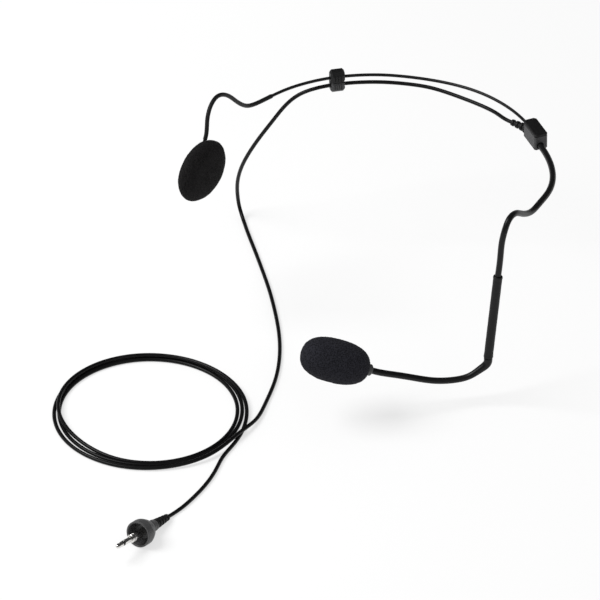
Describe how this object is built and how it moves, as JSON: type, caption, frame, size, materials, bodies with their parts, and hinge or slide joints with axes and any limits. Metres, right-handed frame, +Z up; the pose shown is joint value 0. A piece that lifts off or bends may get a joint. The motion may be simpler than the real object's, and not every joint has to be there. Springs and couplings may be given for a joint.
{
  "type": "headset microphone",
  "caption": "Headset microphone with a behind-the-head wire band, a foam ear pad, a bent boom with a foam windscreen, and a thin coiled cord to a small plug with a locking collar.",
  "frame": {"origin": "midway between the two places where the band turns up over the wearer's ears, just above the plane of the band behind the head", "axes": "+X towards the wearer's left ear (the boom's side), +Y towards the back of the head, +Z up"},
  "size_m": [0.18, 0.2998, 0.103],
  "materials": {
    "wire_black": "satin black coated spring wire and tube",
    "rubber_black": "matt black soft sleeve and ribbed rubber",
    "plastic_black": "black moulded plastic, fine texture",
    "plastic_grey": "very dark grey moulded plastic, satin",
    "foam_black": "open-cell black acoustic foam",
    "cord_black": "smooth black cord jacket with a slight sheen",
    "nickel": "bright nickel plate",
    "insulation": "black moulded insulation",
    "circuit_board": "green printed circuit board"
  },
  "bodies": {
    "headband": {"band_wire": "wire_black", "ear_hook_sleeve": "rubber_black", "hook_tube": "wire_black", "boom_sleeve": "rubber_black", "block_base": "plastic_grey", "block_lid": "plastic_grey", "block_screw": "nickel", "wire_anchor": "nickel", "cord_gland": "rubber_black", "cord_run": "cord_black", "cord_coil": "cord_black", "cord_tail": "cord_black", "plug_boot": "rubber_black", "plug_body": "plastic_grey", "pin_bushing": "nickel", "pin_sleeve": "nickel", "pin_insulator": "insulation", "pin_tip": "nickel"},
    "ear_pad": {"pad_plate": "plastic_black", "pad_foam": "foam_black"},
    "cord_clip": {"clip_upper": "plastic_black", "clip_lower": "plastic_grey"},
    "bush": {"boom_bush": "insulation"},
    "boom": {"boom_stem": "nickel", "boom_tube": "wire_black", "mic_holder": "plastic_grey", "mic_housing": "nickel", "capsule_board": "circuit_board", "mic_capsule": "nickel", "capsule_felt": "foam_black", "mic_grille": "nickel"},
    "screen": {"windscreen": "foam_black"},
    "collar": {"lock_collar": "plastic_grey"}
  },
  "joints": [
    {"name": "pad_swivel", "type": "hinge", "parent": "headband", "child": "ear_pad", "pos_m": [-0.07813, -0.04296, -0.00902], "axis": [0.0923, 0.5121, 0.854], "range_deg": [-20, 20]},
    {"name": "clip_slide", "type": "hinge", "parent": "headband", "child": "cord_clip", "pos_m": [0, -0.0135, -0.0009], "axis": [0, 0, -1], "range_deg": [0, 22]},
    {"name": "boom_swivel", "type": "hinge", "parent": "headband", "child": "bush", "pos_m": [0.07765, -0.03055, -0.0176], "axis": [0.046, 0.11, 0.9929], "range_deg": [-15, 60]},
    {"name": "boom_slide", "type": "slide", "parent": "bush", "child": "boom", "axis": [-0.046, -0.11, -0.9929], "range_m": [0, 0.01]},
    {"name": "windscreen_pull", "type": "slide", "parent": "boom", "child": "screen", "axis": [-0.6595, -0.6286, 0.4122], "range_m": [0, 0.02]},
    {"name": "collar_turn", "type": "hinge", "parent": "headband", "child": "collar", "pos_m": [0.0037, -0.2165, -0.0776], "axis": [-0.015, -0.9807, 0.1949], "continuous": true}
  ]
}
